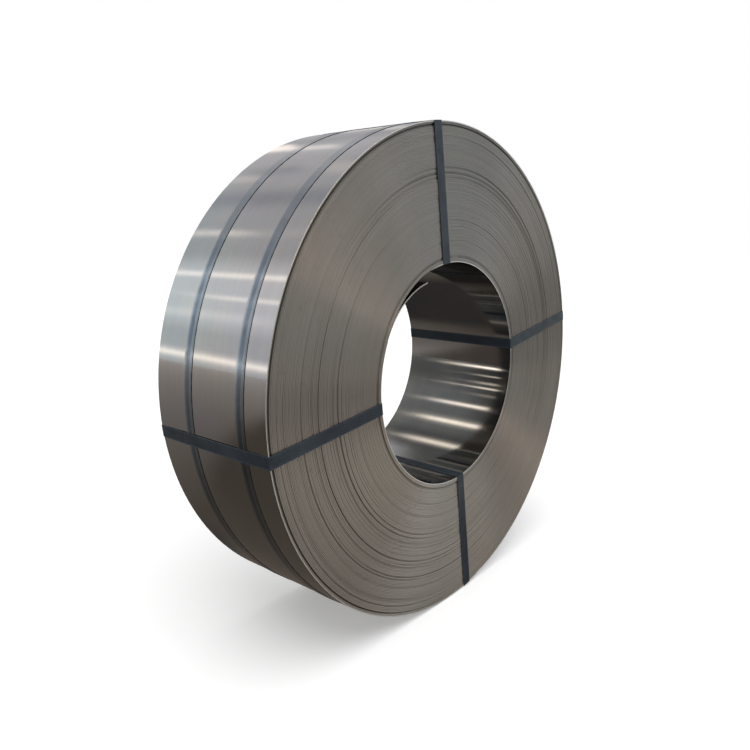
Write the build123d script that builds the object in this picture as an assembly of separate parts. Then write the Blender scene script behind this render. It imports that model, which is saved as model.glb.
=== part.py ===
from build123d import *
import math
import os

# Coil of slit steel strip that stands on its round side.
# Two straps go round its body, and four go through its eye.
# Lengths are millimetres. X runs along the coil's axis and Z is up.
# The near end faces +X. Angles round the coil are degrees from the top towards +Y.

# Wound strip
bore_diameter = 508.0
strip_width = 320.0
strip_pitch = 3.0
turn_count = 99

# How the turns stand at the two ends
bore_wraps = 4
rim_wraps = 3
turns_in_group = (20, 17, 8, 11, 7, 29)
turn_wander = 2.0
wander_step = 137.5
gap_width = 1.5
gap_depth = 7.0

# The two ends of the strip
inner_end_angle = -26.0
inner_end_run = 50.0
outer_end_angle = 168.0
outer_end_run = 120.0

# Straps
strap_width = 25.0
strap_thickness = 0.8
seat_gap = 0.2
eye_strap_angles = {"top": -7.5, "right": 81.0, "bottom": 172.8, "left": -97.3}
belly_strap_insets = {"near": 70.0, "far": 223.0}

# Crimped seals, with the lap of the strap inside them
seal_length = 50.0
seal_wall = 0.9
seal_fit = 0.1
lap_show = 8.0
ramp_length = 30.0
notch_width = 5.0
notch_depth = 4.0
eye_seal_inset = 150.0
belly_seal_angles = {"near": 36.0, "far": 42.0}

# How far a cutter reaches past what it cuts
cut_margin = 1.0

# Sizes that follow
bore_radius = bore_diameter / 2
outer_radius = bore_radius + turn_count * strip_pitch
layer = strap_thickness + seat_gap
seal_lift = seal_fit + seal_wall
near_seat = strip_width / 2 + seat_gap
far_seat = -strip_width / 2 - turn_wander - seat_gap
barrel_seat = outer_radius + seat_gap
bore_seat = bore_radius - seat_gap
eye_seal_radius = outer_radius - eye_seal_inset
near_reach = near_seat + strap_thickness
far_reach = far_seat - seal_lift - 2 * strap_thickness - seal_fit - seal_wall
axis_height = barrel_seat + strap_thickness
lap_half = seal_length / 2 + lap_show


def turn_radius(turn):
    """Radius where a turn begins, counted from the bore."""
    return bore_radius + turn * strip_pitch


def slide(group):
    """How far a group of turns has slid away from the near end."""
    swing = math.sin(math.radians(wander_step * group))
    return -turn_wander * (1 + swing) / 2


def turn_groups():
    """First turn, last turn and slide of each group, from the bore to the rim."""
    groups = [(0, bore_wraps, 0.0)]
    turn = bore_wraps
    last = turn_count - rim_wraps
    while turn < last:
        number = len(groups)
        size = turns_in_group[(number - 1) % len(turns_in_group)]
        end = min(turn + size, last)
        groups.append((turn, end, slide(number)))
        turn = end
    groups.append((turn, turn_count, 0.0))
    return groups


def end_outline(end):
    """Outline of one end from the bore to the rim. The near end is 1, the far end is -1."""
    points = []
    for first, last, slid in turn_groups():
        face = end * strip_width / 2 + slid
        points.append((face, turn_radius(first)))
        points.append((face, turn_radius(last)))
    return points


def tube(inner_radius, wall, start, end):
    """Tube along the coil's axis."""
    section = Pos((start + end) / 2, inner_radius + wall / 2) * Rectangle(abs(end - start), wall)
    return revolve(section, Axis.X)


def wrap_gap(turn, end):
    """Open gap between two turns, seen at one end."""
    face = end * strip_width / 2
    beyond = end * (turn_wander + cut_margin)
    return tube(turn_radius(turn) - gap_width / 2, gap_width, face - end * gap_depth, face + beyond)


def polar(radius, angle):
    """Point in the plane across the axis."""
    return (radius * math.sin(math.radians(angle)), radius * math.cos(math.radians(angle)))


def strip_end(radius, angle, run, outward, onward):
    """Wedge of space beyond an end of the strip, one turn deep at the end and fading out along the run."""
    beyond = radius + outward
    deep = radius - outward * strip_pitch
    sweep = onward * math.degrees(run / radius)
    middle = angle + sweep / 2
    fade = ThreePointArc(
        polar(deep, angle), polar((deep + radius) / 2, middle), polar(radius, angle + sweep)
    )
    rise = Line(fade @ 1, polar(beyond, angle + sweep))
    back = ThreePointArc(rise @ 1, polar(beyond, middle), polar(beyond, angle))
    drop = Line(back @ 1, fade @ 0)
    wedge = make_face([fade, rise, back, drop])
    return extrude(Plane.YZ * wedge, amount=strip_width, both=True)


def wound_strip():
    """All turns of the strip as one turned solid, with the steps where the strip begins and ends."""
    outline = end_outline(1) + list(reversed(end_outline(-1)))
    coil = revolve(make_face(Polyline(*outline, close=True)), Axis.X)
    for turn in (bore_wraps, turn_count - rim_wraps):
        for end in (1, -1):
            coil -= wrap_gap(turn, end)
    coil -= strip_end(bore_radius, inner_end_angle, inner_end_run, -1, 1)
    coil -= strip_end(outer_radius, outer_end_angle, outer_end_run, 1, -1)
    return coil


def belly_x(place):
    """Middle of a belly strap along the axis."""
    return strip_width / 2 - belly_strap_insets[place]


def eye_path():
    """Line that an eye strap follows round the wall of the coil, as a face in the plane of the axis."""
    top = barrel_seat + layer
    raised = far_seat - seal_lift
    lap_top = eye_seal_radius + lap_half
    lap_foot = eye_seal_radius - lap_half
    corners = [
        (near_seat, bore_seat),
        (near_seat, barrel_seat),
        (belly_x("near") + strap_width / 2, top),
        (belly_x("far") - strap_width / 2, top),
        (far_seat, barrel_seat),
        (far_seat, lap_top + ramp_length),
        (raised, lap_top),
        (raised, lap_foot),
        (far_seat, lap_foot - ramp_length),
        (far_seat, bore_seat),
    ]
    return make_face(Polyline(*corners, close=True))


def band(path):
    """Section of a strap that lies round a path, with its outer side rounded where it bends."""
    return offset(path, strap_thickness) - path


def eye_strap(angle):
    """Strap through the eye, curved to the bore and the barrel, with its lap on the far end."""
    lap_middle = far_seat - seal_lift - strap_thickness - strap_thickness / 2
    lap = Pos(lap_middle, eye_seal_radius) * Rectangle(strap_thickness, 2 * lap_half)
    section = band(eye_path()) + lap
    half_width = strap_width / 2 + cut_margin
    sweep = 2 * math.degrees(math.asin(half_width / (bore_seat - strap_thickness)))
    swept = Rot(X=-sweep / 2) * revolve(section, Axis.X, sweep)
    trimmed = swept & Box(2 * strip_width, 4 * outer_radius, strap_width)
    return Rot(X=90 - angle) * trimmed


def belly_path(angle):
    """Line that a belly strap follows round the barrel, raised where its seal goes under it."""
    raised = barrel_seat + seal_lift
    lap = math.degrees(lap_half / barrel_seat)
    foot = math.degrees((lap_half + ramp_length) / barrel_seat)
    around = ThreePointArc(
        polar(barrel_seat, angle + foot), polar(barrel_seat, angle + 180), polar(barrel_seat, angle - foot)
    )
    climb = Line(around @ 1, polar(raised, angle - lap))
    over = ThreePointArc(climb @ 1, polar(raised, angle), polar(raised, angle + lap))
    descent = Line(over @ 1, around @ 0)
    return make_face([around, climb, over, descent])


def tube_sector(inner_radius, wall, width, angle, sweep):
    """Part of a tube about the axis, centred on an angle."""
    section = Pos(0, inner_radius + wall / 2) * Rectangle(width, wall)
    return Rot(X=90 - angle - sweep / 2) * revolve(section, Axis.X, sweep)


def belly_strap(place):
    """Strap round the body, with its lap under the seal."""
    angle = belly_seal_angles[place]
    hoop = extrude(Plane.YZ * band(belly_path(angle)), amount=strap_width / 2, both=True)
    lap_sweep = 2 * math.degrees(lap_half / barrel_seat)
    lap_radius = barrel_seat + seal_lift + strap_thickness
    lap = tube_sector(lap_radius, strap_thickness, strap_width, angle, lap_sweep)
    return Pos(belly_x(place)) * (hoop + lap)


def seal_section():
    """Section of a crimped seal round the two layers of a strap. X is across the strap."""
    slot = Rectangle(strap_width + 2 * seal_fit, 2 * strap_thickness + 2 * seal_fit)
    return offset(slot, seal_wall, kind=Kind.INTERSECTION) - slot


def notches():
    """Cutters of the crimping tool: two nips in each edge of a seal. Z is along the strap."""
    side = strap_width / 2 + seal_fit + seal_wall
    half_height = strap_thickness + seal_fit + seal_wall + cut_margin
    nip = Box(2 * notch_depth, 2 * half_height, notch_width)
    return [
        Pos(edge * side, 0, along * seal_length / 4) * nip
        for edge in (-1, 1)
        for along in (-1, 1)
    ]


def eye_seal(angle):
    """Seal of an eye strap, flat on the far end."""
    seal = extrude(seal_section(), amount=seal_length / 2, both=True)
    for nip in notches():
        seal -= nip
    turned = Rot(Z=90) * seal
    place = Pos(far_seat - seal_lift - strap_thickness, 0, eye_seal_radius)
    return Rot(X=-angle) * (place * turned)


def belly_seal(place):
    """Seal of a belly strap, curved to the barrel."""
    middle = barrel_seat + seal_lift + strap_thickness
    sweep = math.degrees(seal_length / middle)
    angle = belly_seal_angles[place]
    seal = Rot(X=-sweep / 2) * revolve(Pos(0, middle) * seal_section(), Axis.X, sweep)
    for nip in notches():
        seal -= Pos(0, middle) * nip
    return Pos(belly_x(place)) * (Rot(X=90 - angle) * seal)


def pieces():
    """Every piece of the coil under its name, about the coil's own axis."""
    made = {"strip_coil": wound_strip()}
    for place in belly_strap_insets:
        made["belly_strap_" + place] = belly_strap(place)
        made["belly_seal_" + place] = belly_seal(place)
    for name, angle in eye_strap_angles.items():
        made["eye_strap_" + name] = eye_strap(angle)
        made["eye_seal_" + name] = eye_seal(angle)
    return made


# The coil rests on its belly straps, with the middle of its length over the origin
stand = Pos(-(near_reach + far_reach) / 2, 0, axis_height)
os.makedirs("parts", exist_ok=True)
for name, piece in pieces().items():
    export_step(stand * piece, os.path.join("parts", name + ".step"))
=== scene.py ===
# %% [markdown]
# # A coil of steel strip
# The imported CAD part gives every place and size. This lesson dresses it: the strip gets its turns,
# its sprung inner end and its rolled surface, and the straps get their blued finish.

# %% Load the frame
import math
from collections import namedtuple

import bpy
import numpy as np
from mathutils import Matrix, Vector


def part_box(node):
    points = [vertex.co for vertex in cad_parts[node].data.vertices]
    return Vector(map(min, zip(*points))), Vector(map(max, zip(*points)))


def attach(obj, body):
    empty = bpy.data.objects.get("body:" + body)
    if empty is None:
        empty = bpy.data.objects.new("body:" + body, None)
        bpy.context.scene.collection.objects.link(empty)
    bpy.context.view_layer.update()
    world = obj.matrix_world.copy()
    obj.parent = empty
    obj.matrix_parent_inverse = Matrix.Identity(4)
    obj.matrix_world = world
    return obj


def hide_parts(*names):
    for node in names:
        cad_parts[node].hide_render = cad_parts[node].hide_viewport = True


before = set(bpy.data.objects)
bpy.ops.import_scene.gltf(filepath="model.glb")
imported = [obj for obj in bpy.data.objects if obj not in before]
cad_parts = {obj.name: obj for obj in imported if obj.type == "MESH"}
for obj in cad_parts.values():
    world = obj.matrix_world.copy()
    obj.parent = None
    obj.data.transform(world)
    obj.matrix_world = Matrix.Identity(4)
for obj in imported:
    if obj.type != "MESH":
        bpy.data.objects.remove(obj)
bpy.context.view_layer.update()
print("nodes:", ", ".join(sorted(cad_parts)))

# %% [markdown]
# ## Sizes that the pieces share
# The strip is 3 mm thick, and 99 turns of it fill the coil from its bore to its rim. All sizes are
# metres. The coil's axis runs along X at the height below. Angles round the coil count from the top
# towards +Y, which is clockwise as seen from the near end.

# %% Shared sizes
MM = 0.001
coil_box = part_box("strip_coil")
axis_z = (coil_box[0].z + coil_box[1].z) / 2
near_face = coil_box[1].x
far_face = coil_box[0].x
middle_x = (near_face + far_face) / 2
rim = 551 * MM
bore = 254 * MM
pitch = 3 * MM
turns = 99
axis_point = Vector((0, 0, axis_z))
print("axis at", round(axis_z, 4), "faces at", round(near_face, 4), round(far_face, 4))

# %% [markdown]
# ## The camera
# The photo was taken from the left of the near end, a little above the axis. Fitting circles to the
# bore and the rim gave the place of the lens, its focal length and the small shift of the frame.

# %% Camera
camera_place = Vector((1.0371, -1.2663, 0.8652))
camera_looks = Vector((-0.6214, 0.7622, -0.1816))
camera = bpy.data.objects.new("camera", bpy.data.cameras.new("camera"))
bpy.context.scene.collection.objects.link(camera)
camera.location = camera_place
camera.rotation_euler = camera_looks.to_track_quat("-Z", "Y").to_euler()
camera.data.lens = 32.82
camera.data.sensor_width = 36
camera.data.shift_x = -0.034
camera.data.shift_y = -0.0184
bpy.context.scene.camera = camera
print("camera", round((camera_place - axis_point).length, 3), "m from the middle of the coil")

# %% [markdown]
# ## Helpers for modelling
# An operator works on everything that is selected, and the loaded nodes are selected, so each piece
# starts by deselecting all. A finished piece keeps its place in its mesh, with its object at the
# origin.

# %% Modelling helpers


def start_clean():
    """Leaves edit mode and deselects everything."""
    if bpy.context.mode != "OBJECT":
        bpy.ops.object.mode_set(mode="OBJECT")
    bpy.ops.object.select_all(action="DESELECT")


def edit(select="SELECT"):
    """Enters edit mode with all selected or nothing."""
    bpy.ops.object.mode_set(mode="EDIT")
    bpy.ops.mesh.select_mode(type="VERT")
    bpy.ops.mesh.select_all(action=select)


def settle(piece):
    """Back to object mode, with the object's place moved into its mesh."""
    bpy.ops.object.mode_set(mode="OBJECT")
    piece.data.transform(piece.matrix_world)
    piece.matrix_world = Matrix.Identity(4)
    return piece


def pick_vertices(piece, wanted):
    """Selects in edit mode the vertices whose place passes a test."""
    edit("DESELECT")
    bpy.ops.object.mode_set(mode="OBJECT")
    for vertex in piece.data.vertices:
        vertex.select = wanted(vertex.co)
    bpy.ops.object.mode_set(mode="EDIT")
    bpy.ops.mesh.select_mode(type="VERT")


def report(piece):
    """Prints what a piece measures."""
    low = np.min([c[:] for c in piece.bound_box], axis=0)
    high = np.max([c[:] for c in piece.bound_box], axis=0)
    triangles = sum(len(p.vertices) - 2 for p in piece.data.polygons)
    print(piece.name, "triangles", triangles, "from", low.round(4), "to", high.round(4))


# %% [markdown]
# ## The turns of the strip: the outline
# On the real coil each turn shows on the ends as a thin line with a dark gap beside it. One turn is
# drawn as a land and the two slopes of its gap. An array lays 99 of them from the bore to the rim,
# and a second chain makes the other end. Drawing every point by hand would give the same line.

# %% Draw one turn and repeat it
gap = 0.55 * MM
groove = 1.2 * MM


def first_turn(face, inward):
    """One turn's edge as a chain of points, from the bore outwards, on one end of the coil."""
    start_clean()
    bpy.ops.mesh.primitive_plane_add(size=pitch, location=(face, 0, axis_z + bore))
    piece = bpy.context.object
    edit()
    bpy.ops.mesh.merge(type="CENTER")
    land = (0, 0, pitch - gap)
    into_gap = (-inward * groove, 0, gap / 2)
    out_of_gap = (inward * groove, 0, gap / 2)
    for step in (land, into_gap, out_of_gap):
        bpy.ops.mesh.extrude_region_move(TRANSFORM_OT_translate={"value": step})
    return settle(piece)


def all_turns(face, inward):
    """The outline of one end, from the bore to the rim."""
    piece = first_turn(face, inward)
    array = piece.modifiers.new("turns", "ARRAY")
    array.count = turns
    array.use_relative_offset = False
    array.use_constant_offset = True
    array.constant_offset_displace = (0, 0, pitch)
    array.use_merge_vertices = True
    array.merge_threshold = 0.05 * MM
    bpy.ops.object.modifier_apply(modifier=array.name)
    return piece


near_end = all_turns(near_face, 1)
far_end = all_turns(far_face, -1)
start_clean()
near_end.select_set(True)
far_end.select_set(True)
bpy.context.view_layer.objects.active = near_end
bpy.ops.object.join()
strip_turns = near_end
strip_turns.name = strip_turns.data.name = "strip_turns"
for level in (bore, rim):
    pick_vertices(strip_turns, lambda co: abs(co.z - axis_z - level) < 0.1 * MM)
    bpy.ops.mesh.edge_face_add()
settle(strip_turns)
print("outline points", len(strip_turns.data.vertices))

# %% [markdown]
# ## The turns of the strip: the spin
# Spinning the closed outline about the coil's axis makes the whole coil at once. The last step lands
# on the first, so doubles are merged, and the normals are then turned outwards.

# %% Spin the outline
around = 160
edit()
bpy.ops.mesh.spin(steps=around, angle=math.tau, center=axis_point, axis=(1, 0, 0))
bpy.ops.mesh.select_all(action="SELECT")
bpy.ops.mesh.remove_doubles(threshold=0.02 * MM)
bpy.ops.mesh.normals_make_consistent(inside=False)
settle(strip_turns)
report(strip_turns)

# %% [markdown]
# ## How real turns sit: two curves round the coil
# No two turns end level, and what a turn does changes slowly on its way round. Two curves describe
# that: a seeded wave that wanders, and a bell that fades to nothing at both sides of one angle.

# %% Curves round the coil


def wave(angle, number, seed):
    """Smooth random value round the coil from a few slow waves, about -1 to 1."""
    local = np.random.default_rng(seed)
    total = np.zeros_like(angle)
    for n in range(1, number + 1):
        total += local.normal(0, 1 / n) * np.cos(n * angle + local.uniform(0, math.tau))
    return total / 1.6


def bell(angle, middle, spread):
    """One at the middle angle, fading to nothing at half the spread to each side. Degrees."""
    if spread >= 360:
        return np.ones_like(angle)
    away = np.abs((np.degrees(angle) - middle + 180) % 360 - 180)
    return np.clip(1 - (2 * away / spread) ** 2, 0, 1)


points = np.zeros(len(strip_turns.data.vertices) * 3)
strip_turns.data.vertices.foreach_get("co", points)
points = points.reshape(-1, 3)
radius = np.hypot(points[:, 1], points[:, 2] - axis_z)
angle = np.arctan2(points[:, 1], points[:, 2] - axis_z)
steps = (radius - bore) / pitch
turn = np.clip(np.floor(steps + 1e-3).astype(int), 0, turns - 1)
near = points[:, 0] > 0
print("points on the near end", int(near.sum()), "on the far end", int((~near).sum()))

# %% [markdown]
# ## How real turns sit: groups and single turns
# Groups of turns have slid into the coil together, and single turns lie a little deeper than their
# group. The groups at the bore and the rim lie level. These are moves of thousands of points by their
# turn and angle, so they are done on the array of points at once. Depths are in millimetres.

# %% Slide the groups
rng = np.random.default_rng(7)
group_ends = (4, 24, 41, 49, 60, 67, 91, 96, 99)
group_depth = (0.0, 1.5, 0.9, 1.7, 0.7, 1.6, 1.1, 1.9, 0.0)
last_group = len(group_ends) - 1
deepest = 2.35
shallowest = 0.02
level_play = 0.05
depth = np.zeros(len(points))
for number in range(turns):
    group = next(i for i, end in enumerate(group_ends) if number < end)
    for side, seed in ((near, 11), (~near, 57)):
        mine = (turn == number) & side
        theta = angle[mine]
        slid = group_depth[group] * (0.75 + 0.25 * wave(theta, 2, seed + group))
        uneven = 0.5 + 1.0 * bell(theta, 215, 150) + 0.6 * bell(theta, 20, 120)
        own = rng.uniform(0, 1) ** 3 * uneven * (1 + 0.8 * wave(theta, 3, seed * 100 + number))
        if 0 < group < last_group:
            depth[mine] = np.clip(slid + own, shallowest, deepest)
        else:
            depth[mine] = level_play * rng.uniform(0, 1)
print("depth of the turns", depth.min().round(3), "to", depth.max().round(3), "mm")

# %% [markdown]
# ## How real turns sit: open and closed gaps
# Here and there a gap opens and closes again round the coil. The wraps at the bore and the rim stand
# apart from the rest nearly all the way round. On the upper left the turns are pressed together, and
# their gaps are almost closed there.

# %% Open and close the gaps
# Turn: how deep, at what angle, over how many degrees
open_gaps = {
    4: (3.0, 0, 360),
    24: (1.6, 200, 190),
    38: (1.2, 230, 120),
    41: (2.2, 240, 170),
    45: (1.8, 235, 150),
    49: (2.0, 185, 110),
    58: (2.6, 260, 210),
    60: (2.2, 50, 190),
    63: (1.4, 20, 150),
    67: (2.4, 30, 160),
    70: (1.8, 200, 130),
    72: (2.0, 250, 150),
    78: (1.4, 215, 120),
    91: (1.6, 220, 110),
}
# Turn, how deep, the angle where it closes, over how many degrees
wrap_gaps = ((3, 2.7, 0, 1), (4, 2.4, 0, 1), (95, 2.6, 140, 300), (96, 4.2, 120, 200))
open_share, closed_share = 0.75, 0.8
sunk_turn, sunk_depth, sunk_at, sunk_over = 97, 3.2, 290, 190
pressed_at, pressed_over, pressed_share = 325, 130, 0.75
for number, (deep, middle, spread) in open_gaps.items():
    mine = turn == number
    depth[mine] += open_share * deep * bell(angle[mine], middle, spread)
for number, deep, closed_at, closed_over in wrap_gaps:
    mine = turn == number
    depth[mine] = deep * (1 - closed_share * bell(angle[mine], closed_at, closed_over))
mine = turn == sunk_turn
depth[mine] += sunk_depth * bell(angle[mine], sunk_at, sunk_over)
into_turn = steps - np.floor(steps)
gap_floor = (into_turn > 0.86) & (into_turn < 0.96)
pressed = np.where(gap_floor, bell(angle, pressed_at, pressed_over), 0)
inward = np.where(near, -1, 1)
points[:, 0] += inward * (depth * MM - pressed_share * groove * pressed)
print("open gaps", len(open_gaps) + len(wrap_gaps), "pressed points", int((pressed > 0).sum()))

# %% [markdown]
# ## The two ends of the strip
# Outside, the strip's end lies on the turn below it, so the barrel drops by one thickness there and
# climbs back along 120 mm. Inside, the last turn has sprung off the wall, so the wall is one thickness
# further out behind it. Two columns of points are drawn together to make each step sharp.

# %% Shape the two ends
column = math.tau / around
column_gap = 0.0004
outer_end = math.radians(168)
outer_run = 120 * MM / rim
tail_root = math.radians(-66)
tail_tip = math.radians(-26)
inner_run = 50 * MM / bore
step_height = 0.97 * pitch


def sharpen(theta, at, level):
    """Draws the two columns beside an angle together at one radius, so that they make a sharp step."""
    offset = (theta - at + math.pi) % math.tau - math.pi
    close = (np.abs(offset) < column * 0.999) & (np.abs(radius - level) < 1.5 * pitch)
    return np.where(close, at + np.sign(offset) * column_gap, theta)


def ramp(theta, start, length):
    """Goes from one at the start to nothing over the length, either way round, and is nothing elsewhere."""
    along = (theta - start) / length
    return np.where((along >= 0) & (along <= 1), 1 - along, 0)


for at, level in ((outer_end, rim), (tail_root, bore)):
    angle = sharpen(angle, at, level)
outer_drop = ramp(angle, outer_end, -outer_run)
in_outer_turn = np.clip((radius - (rim - pitch)) / pitch, 0, 1)
radius = radius - step_height * in_outer_turn * outer_drop
behind_tail = np.where((angle > tail_root) & (angle < tail_tip), 1, ramp(angle, tail_tip, inner_run))
in_inner_turn = np.clip((bore + pitch - radius) / pitch, 0, 1)
radius = radius + step_height * in_inner_turn * behind_tail
points[:, 1] = radius * np.sin(angle)
points[:, 2] = axis_z + radius * np.cos(angle)
strip_turns.data.vertices.foreach_set("co", points.ravel())
strip_turns.data.update()
start_clean()
strip_turns.select_set(True)
bpy.context.view_layer.objects.active = strip_turns
bpy.ops.object.shade_smooth_by_angle(angle=math.radians(28))
report(strip_turns)
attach(strip_turns, "root")
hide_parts("strip_coil")

# %% [markdown]
# ## The sprung inner end
# The last 180 mm of strip inside the bore has sprung away from the wall and stands open like a flap.
# Its section, a thin upright strip, is spun through 53 degrees about a centre nearer its own side, so
# that it leaves the wall smoothly. Its edges are bevelled, as a slit edge is never quite sharp.

# %% Inner tail
flap_radius = 191 * MM
flap_sweep = math.radians(53)
flap_width = near_face - far_face - 0.6 * MM
flap_thickness = 0.94 * pitch
towards_root = Vector((0, math.sin(tail_root), math.cos(tail_root)))
flap_centre = axis_point + towards_root * (bore - flap_radius)
start_clean()
bpy.ops.mesh.primitive_plane_add(size=1, rotation=(math.pi / 2, 0, 0))
inner_tail = bpy.context.object
inner_tail.name = inner_tail.data.name = "inner_tail"
inner_tail.scale = (flap_width, flap_thickness, 1)
bpy.ops.object.transform_apply(location=True, rotation=True, scale=True)
section_place = axis_point + towards_root * (bore + pitch / 2) + Vector((middle_x, 0, 0))
section_turn = Matrix.Rotation(-tail_root, 4, "X")
inner_tail.data.transform(Matrix.Translation(section_place) @ section_turn)
edit()
bpy.ops.mesh.spin(steps=36, angle=flap_sweep, center=flap_centre, axis=(1, 0, 0))
bpy.ops.mesh.select_all(action="SELECT")
bpy.ops.mesh.normals_make_consistent(inside=False)
settle(inner_tail)
edges = inner_tail.modifiers.new("edges", "BEVEL")
edges.width = 0.5 * MM
edges.segments = 2
edges.limit_method = "ANGLE"
bpy.ops.object.modifier_apply(modifier=edges.name)
bpy.ops.object.shade_smooth_by_angle(angle=math.radians(40))
report(inner_tail)
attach(inner_tail, "root")

# %% [markdown]
# ## Helpers for materials: nodes
# Every finish here is drawn by nodes. These helpers add a node, fill its inputs with numbers or with
# other nodes' outputs, and give back its output, so that a finish reads like a short recipe.

# %% Node helpers


def fill(tree, socket, value):
    """Links a socket to another node's output, or sets it to a plain value."""
    if isinstance(value, bpy.types.NodeSocket):
        tree.links.new(value, socket)
    else:
        socket.default_value = value


def add(tree, kind, inputs=None, **settings):
    """Adds a node, sets its settings and fills its inputs."""
    node = tree.nodes.new("ShaderNode" + kind)
    for key, value in settings.items():
        setattr(node, key, value)
    for key, value in (inputs or {}).items():
        fill(tree, node.inputs[key], value)
    return node


def calc(tree, operation, *values, clamp=False):
    """A maths node's output."""
    node = add(tree, "Math", dict(enumerate(values)), operation=operation)
    node.use_clamp = clamp
    return node.outputs[0]


def chain(tree, operation, first, *others):
    """A maths operation over two or more values, from left to right."""
    for other in others:
        first = calc(tree, operation, first, other)
    return first


def product(tree, *values):
    """All values multiplied."""
    return chain(tree, "MULTIPLY", *values)


def larger(tree, *values):
    """The largest of the values."""
    return chain(tree, "MAXIMUM", *values)


def plus(tree, *values):
    """All values added."""
    return chain(tree, "ADD", *values)


def minus(tree, first, second):
    """The second value taken from the first."""
    return calc(tree, "SUBTRACT", first, second)


def distance(tree, first, second):
    """How far two values are apart."""
    return calc(tree, "ABSOLUTE", minus(tree, first, second))


def blend(tree, share, first, second):
    """A colour between two colours."""
    node = add(tree, "Mix", data_type="RGBA", blend_type="MIX")
    for number, value in ((0, share), (6, first), (7, second)):
        fill(tree, node.inputs[number], value)
    return node.outputs[2]


def remap(tree, value, low, high, to_low=0.0, to_high=1.0):
    """A value moved from one range to another, smoothly."""
    names = {"Value": value, "From Min": low, "From Max": high, "To Min": to_low, "To Max": to_high}
    return add(tree, "MapRange", names, interpolation_type="SMOOTHSTEP").outputs[0]


# %% [markdown]
# ## Helpers for materials: groups and shaders
# An effect that several finishes use is a node group with named inputs and outputs, so that each
# material can set it its own way. The shader itself stays in the material.

# %% Group and shader helpers


def new_group(name, inputs, outputs):
    """An empty node group with named number inputs and outputs."""
    tree = bpy.data.node_groups.new(name, "ShaderNodeTree")
    for label, start in inputs.items():
        socket = tree.interface.new_socket(label, in_out="INPUT", socket_type="NodeSocketFloat")
        socket.default_value = start
    for label in outputs:
        tree.interface.new_socket(label, in_out="OUTPUT", socket_type="NodeSocketFloat")
    return tree, tree.nodes.new("NodeGroupInput").outputs, tree.nodes.new("NodeGroupOutput").inputs


def use(tree, group, **inputs):
    """Places a node group in a tree, fills its inputs and gives back its outputs."""
    node = tree.nodes.new("ShaderNodeGroup")
    node.node_tree = group
    for key, value in inputs.items():
        fill(tree, node.inputs[key.replace("_", " ")], value)
    return node.outputs


def new_material(name):
    """An empty material and its tree, with its shader wired to the output."""
    material = bpy.data.materials.new(name)
    material.use_nodes = True
    tree = material.node_tree
    return material, tree, tree.nodes["Principled BSDF"]


def wire(tree, shader, **inputs):
    """Fills the shader's sockets."""
    for key, value in inputs.items():
        fill(tree, shader.inputs[key.replace("_", " ")], value)


def dress(piece, *finishes):
    """Gives a piece its materials in place of those it has."""
    piece.data.materials.clear()
    for finish in finishes:
        piece.data.materials.append(finish)


def tone(red, green, blue):
    """A colour, for a colour socket."""
    return (red, green, blue, 1.0)


# %% [markdown]
# ## Where a point is on the coil
# Rolled strip and wound turns both run round the axis. This group turns a point's place into how far
# along the axis it is, how deep inside the coil's ends, how far from the axis, which turn that is, and
# its direction round the coil.

# %% Group: place on the coil
place_labels = ("Along", "Deep", "Out", "Turn", "Y", "Z")
coil_place, given, gives = new_group("place_on_coil", {}, place_labels)
where = add(coil_place, "TexCoord").outputs["Object"]
from_axis = add(coil_place, "VectorMath", {0: where, 1: (0, 0, axis_z)}, operation="SUBTRACT")
place_x, place_y, place_z = add(coil_place, "SeparateXYZ", {0: from_axis.outputs[0]}).outputs
squares = (product(coil_place, place_y, place_y), product(coil_place, place_z, place_z))
out = calc(coil_place, "SQRT", plus(coil_place, *squares))
half_length = (near_face - far_face) / 2
places = {
    "Along": place_x,
    "Deep": minus(coil_place, half_length, distance(coil_place, place_x, middle_x)),
    "Out": out,
    "Turn": calc(coil_place, "DIVIDE", minus(coil_place, out, bore), pitch),
    "Y": calc(coil_place, "DIVIDE", place_y, out),
    "Z": calc(coil_place, "DIVIDE", place_z, out),
}
for label, value in places.items():
    coil_place.links.new(value, gives[label])
print("place on the coil gives", ", ".join(places))

# %% [markdown]
# ## Lines that run round the coil
# Rolling leaves fine lines along the strip, and slitting leaves lines on its edges. Both run round the
# coil and slowly fade in and out. Noise that is stretched round the axis gives them, with no seam.

# %% Group: lines round the coil
line_inputs = {"Across": 0.0, "Lines per metre": 400.0, "Drift": 1.5, "Contrast": 1.0}
round_lines, given, gives = new_group("lines_round_coil", line_inputs, ("Value",))
here = use(round_lines, coil_place)
stretched = {
    0: product(round_lines, given["Across"], given["Lines per metre"]),
    1: product(round_lines, here["Y"], given["Drift"]),
    2: product(round_lines, here["Z"], given["Drift"]),
}
stretched = add(round_lines, "CombineXYZ", stretched).outputs[0]
grain = {"Vector": stretched, "Scale": 1.0, "Detail": 3.0, "Roughness": 0.6}
streaks = add(round_lines, "TexNoise", grain).outputs[0]
centred = product(round_lines, minus(round_lines, streaks, 0.5), given["Contrast"])
round_lines.links.new(calc(round_lines, "ADD", centred, 0.5, clamp=True), gives["Value"])
print("lines round the coil takes", ", ".join(line_inputs))

# %% [markdown]
# ## Blotches of oil and dust
# Oiled strip dries unevenly. Soft noise gives a mask of where the film is thicker, and each finish
# sets the size of its blotches and how much of the surface they cover.

# %% Group: blotches
blotch_inputs = {"Size": 4.0, "Low": 0.4, "High": 0.7}
blotches, given, gives = new_group("blotches", blotch_inputs, ("Mask",))
where = add(blotches, "TexCoord").outputs["Object"]
cloud = {"Vector": where, "Scale": given["Size"], "Detail": 5.0, "Roughness": 0.55}
cloud = add(blotches, "TexNoise", cloud).outputs[0]
mask = {"Value": cloud, "From Min": given["Low"], "From Max": given["High"]}
blotches.links.new(add(blotches, "MapRange", mask).outputs[0], gives["Mask"])
print("blotches takes", ", ".join(blotch_inputs))

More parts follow.
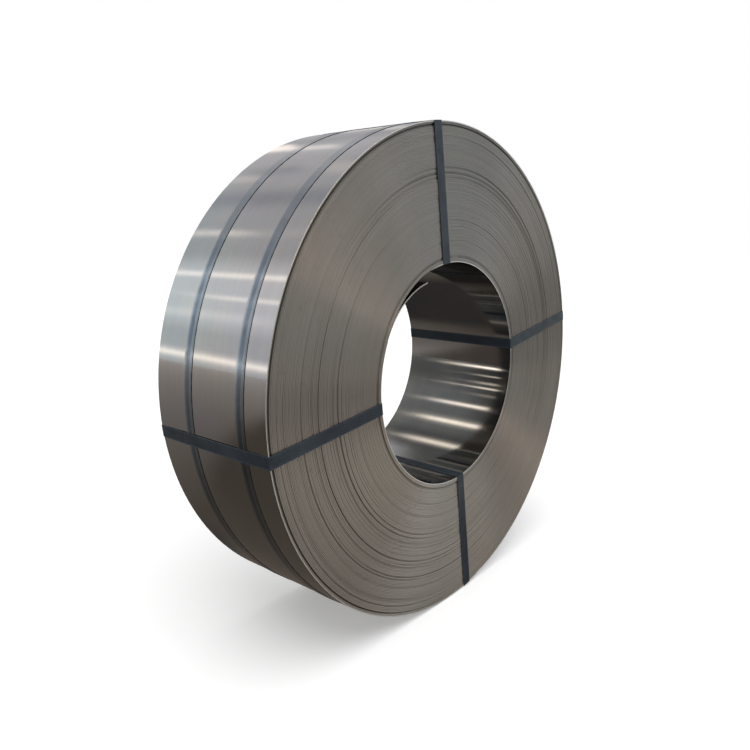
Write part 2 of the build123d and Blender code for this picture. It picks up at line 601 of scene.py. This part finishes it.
# %% [markdown]
# ## Rolled surface of the strip
# Cold-rolled steel is a clear mirror along its grain and a blurred one across it, so light draws bands
# across the strip. The shader's anisotropy does this, turned so that it blurs along the axis. Rolling
# lines, a film of oil, bluish clouds and wiped places vary its colour a little.

# %% Material: rolled surface
steel_tones = (tone(0.36, 0.365, 0.36), tone(0.44, 0.43, 0.41))
rolling_tone = tone(0.30, 0.295, 0.29)
oil_tone = tone(0.30, 0.27, 0.235)
bluish_tone = tone(0.355, 0.37, 0.395)
wiped_tone = tone(0.46, 0.445, 0.405)
rolled, tree, shader = new_material("rolled_steel")
here = use(tree, coil_place)
along = here["Along"]
fine = use(tree, round_lines, Across=along, Lines_per_metre=900.0, Drift=2.0, Contrast=1.4)[0]
broad = use(tree, round_lines, Across=along, Lines_per_metre=60.0, Drift=1.0, Contrast=1.2)[0]
film = use(tree, blotches, Size=3.0, Low=0.35, High=0.75)[0]
bluish = use(tree, blotches, Size=7.0, Low=0.42, High=0.62)[0]
wiped = use(tree, blotches, Size=13.0, Low=0.45, High=0.7)[0]
steel = blend(tree, broad, *steel_tones)
steel = blend(tree, product(tree, fine, 0.35), steel, rolling_tone)
steel = blend(tree, product(tree, film, 0.35), steel, oil_tone)
steel = blend(tree, product(tree, bluish, 0.45), steel, bluish_tone)
steel = blend(tree, product(tree, wiped, 0.30), steel, wiped_tone)
rough = plus(tree, remap(tree, fine, 0.2, 0.8, 0.06, 0.09), product(tree, wiped, 0.03))
bump = add(tree, "Bump", {"Strength": 0.04, "Distance": 0.2 * MM, "Height": fine}).outputs[0]
tangent = add(tree, "Tangent", direction_type="RADIAL", axis="X").outputs[0]
wire(tree, shader, Base_Color=steel, Metallic=1.0, Roughness=rough, Normal=bump, Tangent=tangent)
wire(tree, shader, Anisotropic=0.6, Anisotropic_Rotation=0.25)
print("rolled surface, nodes", len(tree.nodes))

# %% [markdown]
# ## Slit edges of the strip: the metal
# The ends of the coil are cut edges: part burnished, part torn, dulled by handling. Each turn has its
# own tone, and every turn's edge is scored along its length. Painted light makes the edges palest at
# the lower left, and painted shade makes them darker over the upper half.

# %% Material: slit edges
turn_tones = (tone(0.315, 0.30, 0.277), tone(0.385, 0.366, 0.338))
band_tone = tone(0.225, 0.212, 0.195)
score_tone = tone(0.44, 0.424, 0.396)
dust_tone = tone(0.23, 0.195, 0.155)
# Painted light for the lower left and painted shade for the upper half
lower_left_light_tone = tone(0.52, 0.475, 0.415)
upper_shade_tone = tone(0.17, 0.165, 0.155)
slit, tree, shader = new_material("slit_edges")
here = use(tree, coil_place)
turn_number = calc(tree, "FLOOR", here["Turn"])
own = add(tree, "TexWhiteNoise", {"W": turn_number}, noise_dimensions="1D").outputs["Value"]
out = here["Out"]
score = use(tree, round_lines, Across=out, Lines_per_metre=1500.0, Drift=3.0, Contrast=1.5)[0]
bands = use(tree, round_lines, Across=out, Lines_per_metre=110.0, Drift=2.2, Contrast=1.6)[0]
dust = use(tree, blotches, Size=5.0, Low=0.35, High=0.75)[0]
low_left = plus(tree, product(tree, here["Y"], -0.6), product(tree, here["Z"], -0.8))
aloft = plus(tree, product(tree, here["Y"], 0.3), here["Z"])
metal = blend(tree, own, *turn_tones)
metal = blend(tree, product(tree, bands, 0.5), metal, band_tone)
metal = blend(tree, product(tree, score, 0.3), metal, score_tone)
metal = blend(tree, product(tree, dust, 0.3), metal, dust_tone)
# Painted light towards the lower left, then painted shade over the upper half
metal = blend(tree, remap(tree, low_left, 0.2, 1.0, 0.0, 0.6), metal, lower_left_light_tone)
metal = blend(tree, remap(tree, aloft, 0.1, 0.95, 0.0, 0.24), metal, upper_shade_tone)
print("slit edges, nodes for the metal", len(tree.nodes))

# %% [markdown]
# ## Slit edges of the strip: lines, painted shade and painted highlights
# Painted shade in the gap beside each turn is darker at the lower left, where the gaps are open. Painted
# shade also darkens the turns that lie deep. A painted highlight runs as a bright line round the bore
# and the rim, on the outermost turns.

# %% Material: slit edges, second part
# Painted shade for the gap beside each turn
gap_shade_tone = tone(0.10, 0.088, 0.072)
# Painted highlight for the edges at the bore and the rim
edge_highlight_tone = tone(0.85, 0.83, 0.79)
# Painted shade for turns that lie deep
deep_shade_tone = tone(0.035, 0.03, 0.026)
speck_tone = tone(0.15, 0.11, 0.08)
by_gap = remap(tree, minus(tree, here["Turn"], turn_number), 0.62, 0.9)
where_open = remap(tree, low_left, -0.2, 0.9, 0.10, 0.65)
own_shade = remap(tree, own, 0.35, 0.95, 0.2, 1.0)
# Painted shade in the gap beside each turn, darker at the lower left
metal = blend(tree, product(tree, by_gap, where_open, own_shade), metal, gap_shade_tone)
# Painted highlight: a bright line along the edges at the bore and the rim
bore_highlight = remap(tree, out, bore + 2.0 * MM, bore + 1.0 * MM)
bore_highlight = product(tree, bore_highlight, remap(tree, out, bore - 4.0 * MM, bore - 1.0 * MM, 0.35, 1.0))
rim_highlight = remap(tree, out, rim - 2.4 * MM, rim - 1.2 * MM)
metal = blend(tree, larger(tree, bore_highlight, rim_highlight), metal, edge_highlight_tone)
# Painted shade on the turns that lie deep
metal = blend(tree, remap(tree, here["Deep"], 1.9 * MM, 3.8 * MM, 0.0, 0.75), metal, deep_shade_tone)
specks = use(tree, blotches, Size=70.0, Low=0.6, High=0.72)[0]
metal = blend(tree, product(tree, specks, 0.14), metal, speck_tone)
rough = remap(tree, score, 0.2, 0.8, 0.43, 0.49)
bump = add(tree, "Bump", {"Strength": 0.25, "Distance": 0.3 * MM, "Height": score}).outputs[0]
tangent = add(tree, "Tangent", direction_type="RADIAL", axis="X").outputs[0]
wire(tree, shader, Base_Color=metal, Metallic=0.75, Roughness=rough, Normal=bump, Tangent=tangent)
wire(tree, shader, Anisotropic=1.0, Anisotropic_Rotation=0.25)
print("slit edges, nodes", len(tree.nodes))

# %% [markdown]
# ## Which faces are rolled and which are cut
# The rolled surface shows on the barrel, in the bore and on the two sides of the sprung end. All else
# is a cut edge. On the coil only a rolled face is as long as the strip is wide, and on the sprung end
# the cut edges face along the axis, so these two tests sort the faces.

# %% Put both on the strip
ROLLED, CUT = 0, 1
long_face = 200 * MM
along_axis = 0.3
dress(strip_turns, rolled, slit)
dress(inner_tail, rolled, slit)
for polygon in strip_turns.data.polygons:
    ends = [strip_turns.data.vertices[v].co.x for v in polygon.vertices]
    polygon.material_index = ROLLED if max(ends) - min(ends) > long_face else CUT
for polygon in inner_tail.data.polygons:
    polygon.material_index = CUT if abs(polygon.normal.x) > along_axis else ROLLED
count = sum(polygon.material_index == ROLLED for polygon in strip_turns.data.polygons)
print("faces of rolled surface", count)

# %% [markdown]
# ## Blued straps
# Steel strapping is blued and waxed: a thin dark oxide over metal, scuffed where it was pulled tight. The
# body straps are paler over the top of the barrel and on their far half, and a painted sheen runs along
# a line near their other edge. The eye straps stay dark, with slightly paler edges. One function makes
# the finish, and takes what differs between them.

# %% Material: blued straps
strap_half = 12.5 * MM
edge_wear = 0.3


def strap_finish(name, across, tones, metallic, gloss, paling_and_sheen, shine):
    """Blued steel, worn paler at its edges, with a painted sheen line near one edge. Across gives the
    distance from the strap's middle line.
    """
    material, tree, shader = new_material(name)
    here = use(tree, coil_place)
    aside = across(tree, here)
    scuff = use(tree, blotches, Size=45.0, Low=0.4, High=0.7)[0]
    patch = use(tree, blotches, Size=9.0, Low=0.35, High=0.7)[0]
    deep, light, bare_and_sheen = tones
    scuffed = tone(*(0.6 * value for value in deep[:3]))
    oxide = blend(tree, patch, deep, light)
    oxide = blend(tree, product(tree, scuff, 0.5), oxide, scuffed)
    over_top = remap(tree, here["Z"], 0.40, 0.75, 0.0, paling_and_sheen)
    far_side = remap(tree, aside, -3.0 * MM, -strap_half, 0.0, 1.5 * paling_and_sheen)
    # Painted sheen along a line 7 mm to the near side of the middle
    painted_sheen_line = distance(tree, aside, 7.0 * MM)
    painted_sheen_line = remap(tree, painted_sheen_line, 4.0 * MM, 1.0 * MM, 0.0, 0.6 * paling_and_sheen)
    edge = calc(tree, "ABSOLUTE", aside)
    edge = remap(tree, edge, strap_half - 4 * MM, strap_half - 1 * MM, 0.0, edge_wear)
    oxide = blend(tree, larger(tree, edge, painted_sheen_line, far_side, over_top), oxide, bare_and_sheen)
    rough = remap(tree, scuff, 0.0, 1.0, *shine)
    bump = add(tree, "Bump", {"Strength": 0.1, "Distance": 0.3 * MM, "Height": scuff}).outputs[0]
    wire(tree, shader, Base_Color=oxide, Roughness=rough, Normal=bump)
    wire(tree, shader, Metallic=metallic, Specular_IOR_Level=gloss)
    return material


def across_belly(middle):
    """Distance along the axis from a body strap's middle."""
    return lambda tree, here: minus(tree, here["Along"], middle)


def across_eye(degrees):
    """Distance from the plane that holds the axis and an eye strap."""
    sine, cosine = math.sin(math.radians(degrees)), math.cos(math.radians(degrees))

    def from_plane(tree, here):
        turned = minus(tree, product(tree, here["Y"], cosine), product(tree, here["Z"], sine))
        return product(tree, turned, here["Out"])

    return from_plane


# %% [markdown]
# ## Dressing the straps and their seals
# Each strap gets a finish of its own, because its wear is measured from its own middle line, and its
# seal wears the same finish. The nodes are the CAD ones: only their material changes.

# %% Put the finish on the straps
eye_angles = {"top": -7.5, "right": 81.0, "bottom": 172.8, "left": -97.3}
belly_tones = (tone(0.115, 0.145, 0.175), tone(0.16, 0.20, 0.235), tone(0.36, 0.375, 0.38))
eye_tones = (tone(0.018, 0.025, 0.033), tone(0.028, 0.038, 0.049), tone(0.055, 0.068, 0.08))
finishes = {}
for place in ("near", "far"):
    low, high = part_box("belly_strap_" + place)
    across = across_belly((low.x + high.x) / 2)
    name = "blued_belly_" + place
    finishes["belly", place] = strap_finish(name, across, belly_tones, 1.0, 0.5, 0.6, (0.13, 0.24))
for place, degrees in eye_angles.items():
    across = across_eye(degrees)
    name = "blued_eye_" + place
    finishes["eye", place] = strap_finish(name, across, eye_tones, 0.0, 0.2, 0.0, (0.30, 0.42))
for (kind, place), finish in finishes.items():
    dress(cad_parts[kind + "_strap_" + place], finish)
    dress(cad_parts[kind + "_seal_" + place], finish)
print("strap finishes", len(finishes))

# %% [markdown]
# ## The floor
# A plain pale floor carries the coil's shadow. Part of its whiteness is its own glow for the camera
# and for reflections, so no extra light falls on the coil.

# %% Floor
floor_glow = 0.3
start_clean()
disc = {"vertices": 96, "fill_type": "NGON"}
bpy.ops.mesh.primitive_circle_add(radius=30, location=(0, 0, -0.5 * MM), **disc)
floor = bpy.context.object
floor.name = floor.data.name = "studio_floor"
pale, tree, shader = new_material("pale_floor")
wire(tree, shader, Base_Color=tone(0.72, 0.72, 0.72), Roughness=0.9, Specular_IOR_Level=0.1)
path = add(tree, "LightPath").outputs
seen = larger(tree, path["Is Camera Ray"], path["Is Glossy Ray"], path["Is Transmission Ray"])
wire(tree, shader, Emission_Color=tone(1, 1, 1), Emission_Strength=product(tree, seen, floor_glow))
floor.data.materials.append(pale)
print("floor", floor.dimensions[:2])

# %% [markdown]
# ## The dark card
# Photographers lay dark cards outside the picture to give shiny metal something dark to reflect. One
# large card lies on the floor here, and only reflections see it. Bare steel shows what lies round it,
# so the lower half of the coil takes its tones from the card. The card is darkest near the coil and
# just behind it, and paler far away.

# %% Dark card: tones by distance and direction
card_tones = (tone(0.114, 0.095, 0.08), tone(0.98, 0.91, 0.88))
just_behind_tone = tone(0.058, 0.052, 0.05)
front_tone = tone(0.20, 0.165, 0.15)
DEGREES = 180 / math.pi
bpy.ops.mesh.primitive_circle_add(radius=28, location=(0, 0, -0.3 * MM), **disc)
card = bpy.context.object
card.name = card.data.name = "dark_card"
for ray in ("camera", "diffuse", "transmission", "shadow", "volume_scatter"):
    setattr(card, "visible_" + ray, False)
dark, tree, shader = new_material("dark_card")
where = add(tree, "TexCoord").outputs["Object"]
spot_x, spot_y = add(tree, "SeparateXYZ", {0: where}).outputs[:2]
length = add(tree, "VectorMath", {0: where}, operation="LENGTH").outputs["Value"]
reach = calc(tree, "LOGARITHM", larger(tree, length, 0.6), math.e)
paleness = {"Value": reach, "From Min": math.log(0.7), "From Max": math.log(30.0)}
paleness = add(tree, "MapRange", paleness).outputs[0]
outwards = calc(tree, "DIVIDE", spot_x, larger(tree, length, 0.1))
to_ends = remap(tree, calc(tree, "ABSOLUTE", outwards), 0.59, 0.66, 0.0, 0.72)
shade = blend(tree, product(tree, paleness, to_ends), *card_tones)
just_behind = remap(tree, calc(tree, "ABSOLUTE", spot_y), 0.5, 0.3)
just_behind = product(tree, just_behind, remap(tree, spot_x, -0.3, -0.42))
shade = blend(tree, just_behind, shade, just_behind_tone)
shade = blend(tree, remap(tree, outwards, -0.05, 0.15), shade, front_tone)
print("dark card, nodes", len(tree.nodes))

# %% [markdown]
# ## Paler places on the card
# The near end of the coil is dull, and shows what lies in front of it only as a soft sheen. A pale
# spot in front of the coil on its right, a pale stretch farther out and a warm one beyond it give the
# face its slow changes of tone.

# %% Dark card: pale places
beside_at = (0.95, 0.55, 0.0)
beside_tone = tone(1.1, 1.1, 0.95)
far_right_at, far_right_tone = 56.0, tone(0.9, 1.0, 1.05)
warm_at, warm_tone = 82.0, tone(0.5, 0.48, 0.42)
beside = add(tree, "VectorMath", {0: where, 1: beside_at}, operation="DISTANCE").outputs["Value"]
shade = blend(tree, remap(tree, beside, 0.6, 0.25), shade, beside_tone)
bearing = product(tree, calc(tree, "ARCTAN2", spot_y, spot_x), DEGREES)
far_right = remap(tree, distance(tree, bearing, far_right_at), 16.0, 6.0)
far_right = product(tree, far_right, remap(tree, length, 2.0, 5.0))
shade = blend(tree, far_right, shade, far_right_tone)
warm = remap(tree, distance(tree, bearing, warm_at), 18.0, 8.0)
warm = product(tree, warm, remap(tree, length, 0.7, 1.6))
shade = blend(tree, warm, shade, warm_tone)
glow = add(tree, "Emission", {"Color": shade, "Strength": 1.0})
tree.links.new(glow.outputs[0], tree.nodes["Material Output"].inputs[0])
card.data.materials.append(dark)
print("dark card, nodes", len(tree.nodes))

# %% [markdown]
# ## The room that the metal reflects: directions
# Bright bands on rolled strip are reflections of long bright things that run along the coil's axis.
# So the room is drawn in the world by direction. Climb is the angle round the coil's axis, from 0 at
# the -Y horizon over 90 straight up to 180 at the +Y horizon. Endways is how much a direction runs
# along the axis. Bearing and rise are the usual compass and height angles, with +X at bearing 0.

# %% World: directions
world = bpy.data.worlds.new("studio")
bpy.context.scene.world = world
world.use_nodes = True
world.cycles.sampling_method = "NONE"
tree = world.node_tree
look = add(tree, "TexCoord").outputs["Generated"]
look_x, look_y, look_z = add(tree, "SeparateXYZ", {0: look}).outputs
climb = product(tree, calc(tree, "ARCTAN2", look_z, product(tree, look_y, -1.0)), DEGREES)
mirrored_climb = minus(tree, 180.0, climb)
bearing = product(tree, calc(tree, "ARCTAN2", look_y, look_x), DEGREES)
rise = product(tree, calc(tree, "ARCSINE", look_z), DEGREES)
endways = calc(tree, "ABSOLUTE", look_x)
ahead = calc(tree, "GREATER_THAN", look_x, 0.0)
astern = calc(tree, "LESS_THAN", look_x, 0.0)
print("world, nodes for directions", len(tree.nodes))

# %% [markdown]
# ## The room: one long lamp
# A long lamp is a soft line at one climb, lit between two values of endways, which makes its band
# start and stop along the strip. A slanted one climbs as it runs. One group works this out, so that
# every lamp is a single node.

# %% Group: long lamp
slant_pivot = 0.74
lamp_inputs = {
    "Climb": 0.0, "Endways": 0.0, "At": 10.0, "Slant": 0.0, "Half width": 1.0,
    "Strength": 1.0, "From": 0.0, "To": 1.0, "Fade": 0.05,
}
lamp_group, given, gives = new_group("long_lamp", lamp_inputs, ("Value",))
run = given["Endways"]
slid = product(lamp_group, given["Slant"], minus(lamp_group, run, slant_pivot))
away = minus(lamp_group, minus(lamp_group, given["Climb"], given["At"]), slid)
soft = remap(lamp_group, calc(lamp_group, "ABSOLUTE", away), given["Half width"], 0.0)
begins = remap(lamp_group, run, minus(lamp_group, given["From"], given["Fade"]), given["From"])
stops = remap(lamp_group, run, plus(lamp_group, given["To"], given["Fade"]), given["To"])
lit = product(lamp_group, product(lamp_group, soft, begins), product(lamp_group, stops, given["Strength"]))
lamp_group.links.new(lit, gives["Value"])
print("long lamp takes", ", ".join(lamp_inputs))

# %% [markdown]
# ## The room: the lamps
# The barrel mirrors the room at large endways and the bore at small endways, so each has its own
# lamps. A bright band is often two lamps, a narrow one in a wide soft one. A lamp with a strength
# below zero is a dark beam between bright ones.

# %% Lamps
Lamp = namedtuple("Lamp", "at half_width strength start end fade slant", defaults=(0.0,))
barrel_lamps = (
    Lamp(2.6, 4.5, 0.75, 0.70, 1.0, 0.05),
    Lamp(2.6, 2.2, 0.7, 0.73, 1.0, 0.03),
    Lamp(25.0, 4.0, 0.25, 0.79, 1.0, 0.05),
    Lamp(34.5, 2.0, 0.75, 0.70, 0.80, 0.04),
    Lamp(46.5, 2.4, 1.0, 0.70, 1.0, 0.05),
    Lamp(70.5, 3.0, 0.12, 0.70, 0.78, 0.03),
    Lamp(70.5, 3.2, 0.8, 0.80, 1.0, 0.03),
    Lamp(92.0, 10.0, -0.20, 0.70, 1.0, 0.03),
    Lamp(113.0, 6.0, -0.14, 0.735, 0.77, 0.015),
    Lamp(111.0, 8.0, 0.22, 0.62, 0.70, 0.02),
    Lamp(108.0, 5.0, 0.28, 0.775, 1.0, 0.015),
    Lamp(136.0, 5.0, 0.55, 0.70, 1.0, 0.015, slant=60),
    Lamp(141.0, 7.0, 0.95, 0.74, 1.0, 0.012),
    Lamp(174.0, 21.0, 0.75, 0.642, 0.683, 0.008),
    Lamp(153.0, 6.0, 0.3, 0.62, 0.64, 0.008),
    Lamp(167.0, 7.0, -0.35, 0.61, 0.63, 0.008),
    Lamp(162.0, 10.0, -0.15, 0.692, 0.705, 0.008),
)
bore_lamps = (
    Lamp(1.8, 3.0, 1.1, 0.0, 0.555, 0.02),
    Lamp(1.8, 1.4, 2.2, 0.0, 0.535, 0.03),
    Lamp(1.8, 1.4, 1.4, 0.0, 0.525, 0.002),
    Lamp(10.8, 1.1, 1.8, 0.0, 0.525, 0.002),
    Lamp(19.0, 2.0, 1.3, 0.0, 0.525, 0.002),
    Lamp(24.4, 1.5, 2.3, 0.0, 0.525, 0.002),
    Lamp(24.4, 1.6, 0.7, 0.52, 0.56, 0.02),
    Lamp(32.5, 2.4, 0.5, 0.0, 0.525, 0.002),
    Lamp(46.5, 4.8, 0.6, 0.0, 0.57, 0.02),
    Lamp(46.5, 2.8, 1.9, 0.0, 0.56, 0.02),
    Lamp(69.0, 9.0, 0.55, 0.0, 0.575, 0.03),
    Lamp(69.0, 4.2, 1.8, 0.0, 0.575, 0.02),
    Lamp(100.0, 9.0, 0.6, 0.50, 0.59, 0.02),
    Lamp(100.0, 5.0, 1.3, 0.50, 0.59, 0.02),
)
print("lamps for the barrel", len(barrel_lamps), "and for the bore", len(bore_lamps))

# %% [markdown]
# ## The room: hanging the lamps
# Every bright lamp hangs as listed. The barrel's bright lamps and the bore's high ones hang once
# more, mirrored to the other side of the coil. The mirrored ones light only the half of the room
# before the coil, which the barrel shows from its far end, but those on the horizon shine all round.
# The dark beams hang behind the coil only.

# %% Hang the lamps
on_horizon = 3
high_in_bore = 30
hung = [(lamp, climb, None if lamp.strength > 0 else astern) for lamp in barrel_lamps + bore_lamps]
for lamp in barrel_lamps:
    if lamp.strength > 0:
        hung.append((lamp, mirrored_climb, ahead if lamp.at > on_horizon else None))
hung += [(lamp, mirrored_climb, ahead) for lamp in bore_lamps if lamp.at > high_in_bore]
lamp_light = None
for lamp, measured, half_of_room in hung:
    values = {"At": lamp.at, "Slant": lamp.slant, "Half_width": lamp.half_width}
    values |= {"Strength": lamp.strength, "From": lamp.start, "To": lamp.end, "Fade": lamp.fade}
    light = use(tree, lamp_group, Climb=measured, Endways=endways, **values)[0]
    if half_of_room is not None:
        light = product(tree, light, half_of_room)
    lamp_light = light if lamp_light is None else plus(tree, lamp_light, light)
print("lamps hung", len(hung))

# %% [markdown]
# ## The room: walls and ceiling behind the coil
# The barrel mirrors grey walls that are brightest a little above the horizon and dimmer overhead. The
# bore mirrors a darker hollow, as its own wall shades it. What a direction shows is chosen by endways.
# Steep is the climb without its sign, so that the room is the same above and below the horizon.

# %% Room behind the coil
steep = calc(tree, "ABSOLUTE", climb)
walls = remap(tree, steep, 14.0, 24.0, 0.86, 1.17)
walls = product(tree, walls, remap(tree, steep, 46.0, 60.0, 1.0, 0.62))
walls = product(tree, walls, remap(tree, endways, 0.75, 0.84, 1.0, 1.1))
walls = product(tree, walls, remap(tree, steep, 134.0, 146.0, 1.0, 0.72))
hollow = remap(tree, steep, 12.0, 40.0, 0.15, 0.27)
hollow = minus(tree, hollow, remap(tree, steep, 78.0, 92.0, 0.0, 0.12))
hollow = product(tree, hollow, remap(tree, endways, 0.522, 0.527, 0.35, 1.0))
overhead = product(tree, remap(tree, steep, 108.0, 122.0), remap(tree, endways, 0.585, 0.615))
outside = larger(tree, remap(tree, endways, 0.61, 0.69), overhead)
behind = add(tree, "Mix", {0: outside, 2: hollow, 3: walls}).outputs[0]
print("world, nodes", len(tree.nodes))

# %% [markdown]
# ## The room: walls and ceiling before the coil
# The near end of the coil is dull and gathers light from a wide part of the room before it. That part
# stays dark apart from a wall on the left, a fill on the right and a soft ceiling. Nothing there is
# quite black, so that the barrel looks like steel from the back too. Directions straight across the
# axis, which the barrel shows from its side and above, have a least light of their own.

# %% Room before the coil
gloom = 0.06
least_across = 0.28
before = product(tree, walls, remap(tree, look_y, -0.35, -0.2, 1.0, 0.0))
before = product(tree, before, remap(tree, endways, 0.60, 0.78, 0.0, 0.5))
side_fill = product(tree, remap(tree, bearing, 12.0, 30.0), remap(tree, bearing, 74.0, 62.0))
side_fill = product(tree, side_fill, remap(tree, rise, 72.0, 56.0, 0.0, 0.31))
ceiling = product(tree, remap(tree, rise, 32.0, 50.0, 0.0, 0.30), remap(tree, endways, 0.50, 0.60))
ceiling = product(tree, ceiling, remap(tree, endways, 0.85, 0.78))
before = plus(tree, before, gloom, larger(tree, side_fill, ceiling))
before = larger(tree, before, remap(tree, rise, 15.0, 32.0, gloom, 0.18))
wall = add(tree, "Mix", {0: ahead, 2: behind, 3: before}).outputs[0]
wall = larger(tree, wall, remap(tree, endways, 0.46, 0.34, 0.0, least_across))
print("world, nodes", len(tree.nodes))

# %% [markdown]
# ## The room: one soft panel
# A panel is a soft patch of light at one bearing and height. It is full over its core and fades to
# nothing at its edges. A group gives its share, from 0 to 1.

# %% Group: soft panel
panel_core = 0.4
panel_inputs = {
    "Bearing": 0.0, "Rise": 0.0, "Faces": 0.0, "Half width": 10.0, "Height": 10.0, "Half height": 10.0,
}
panel_group, given, gives = new_group("soft_panel", panel_inputs, ("Value",))
shares = []
for value, middle, half in (("Bearing", "Faces", "Half width"), ("Rise", "Height", "Half height")):
    away = distance(panel_group, given[value], given[middle])
    shares.append(remap(panel_group, away, given[half], product(panel_group, given[half], panel_core)))
panel_group.links.new(product(panel_group, *shares), gives["Value"])
print("soft panel takes", ", ".join(panel_inputs))

# %% [markdown]
# ## The room: tints and panels
# The walls are near grey, slightly cooler towards the ends. Four soft panels before the coil give the
# near end its fans of sheen. Most are brighter than white, because the dull end gathers only a part
# of what they send.

# %% Tints and panels
Panel = namedtuple("Panel", "colour faces half_width height half_height")
panels = (
    Panel((1.5, 0.9, 0.65), -7.0, 12.0, 53.0, 12.0),
    Panel((3.0, 2.8, 3.3), 84.0, 14.0, 10.0, 16.0),
    Panel((5.2, 4.2, 3.4), -42.0, 14.0, 44.0, 14.0),
    Panel((0.7, 0.9, 1.0), 56.0, 14.0, 4.0, 12.0),
)
tint = blend(tree, remap(tree, endways, 0.77, 0.84), tone(1.0, 0.98, 1.025), tone(0.92, 1.0, 1.04))
tint = blend(tree, outside, tone(0.97, 1.0, 1.0), tint)
room = add(tree, "VectorMath", {0: tint, "Scale": wall}, operation="SCALE").outputs[0]
for panel in panels:
    values = {"Faces": panel.faces, "Half_width": panel.half_width}
    values |= {"Height": panel.height, "Half_height": panel.half_height}
    share = use(tree, panel_group, Bearing=bearing, Rise=rise, **values)[0]
    light = add(tree, "VectorMath", {0: panel.colour, "Scale": share}, operation="SCALE").outputs[0]
    room = add(tree, "VectorMath", {0: room, 1: light}, operation="ADD").outputs[0]
print("soft panels", len(panels))

# %% [markdown]
# ## What each kind of ray sees
# Reflections see the room and its lamps. In the second bounce inside the bore the lamps are dimmed,
# because mirrored again and again they would fill it with bands. The camera sees plain white, and
# all other light is an even grey.

# %% World: put together
lamp_colour = (1.0, 0.88, 0.76)
even_grey = tone(0.55, 0.55, 0.55)
second_bounce = 0.3
path = add(tree, "LightPath").outputs
bounce = remap(tree, path["Glossy Depth"], 1.2, 1.8, 1.0, second_bounce)
lamp_light = product(tree, lamp_light, bounce)
lamps = add(tree, "VectorMath", {0: lamp_colour, "Scale": lamp_light}, operation="SCALE").outputs[0]
reflected = add(tree, "VectorMath", {0: room, 1: lamps}, operation="ADD").outputs[0]
reflected = add(tree, "VectorMath", {0: reflected, 1: (0, 0, 0)}, operation="MAXIMUM").outputs[0]
gloss = larger(tree, path["Is Glossy Ray"], path["Is Transmission Ray"])
colour = blend(tree, gloss, even_grey, reflected)
colour = blend(tree, path["Is Camera Ray"], colour, tone(1, 1, 1))
tree.links.new(colour, tree.nodes["Background"].inputs[0])
print("world, nodes", len(tree.nodes))

# %% [markdown]
# ## Soft lamp
# One wide lamp above gives the floor its light and the coil its soft shadow.

# %% Lamp
soft_lamp = bpy.data.objects.new("soft_lamp", bpy.data.lights.new("soft_lamp", "SUN"))
bpy.context.scene.collection.objects.link(soft_lamp)
soft_lamp.rotation_euler = Vector((-0.35, 0.25, -1.0)).to_track_quat("-Z", "Y").to_euler()
soft_lamp.data.angle = math.radians(50)
soft_lamp.data.energy = 2.2
soft_lamp.visible_glossy = False
print("soft lamp strength", round(soft_lamp.data.energy, 2))

# %% [markdown]
# ## Picture settings
# The Standard view shows colours as they were mixed.

# %% Settings
bpy.context.scene.view_settings.view_transform = "Standard"
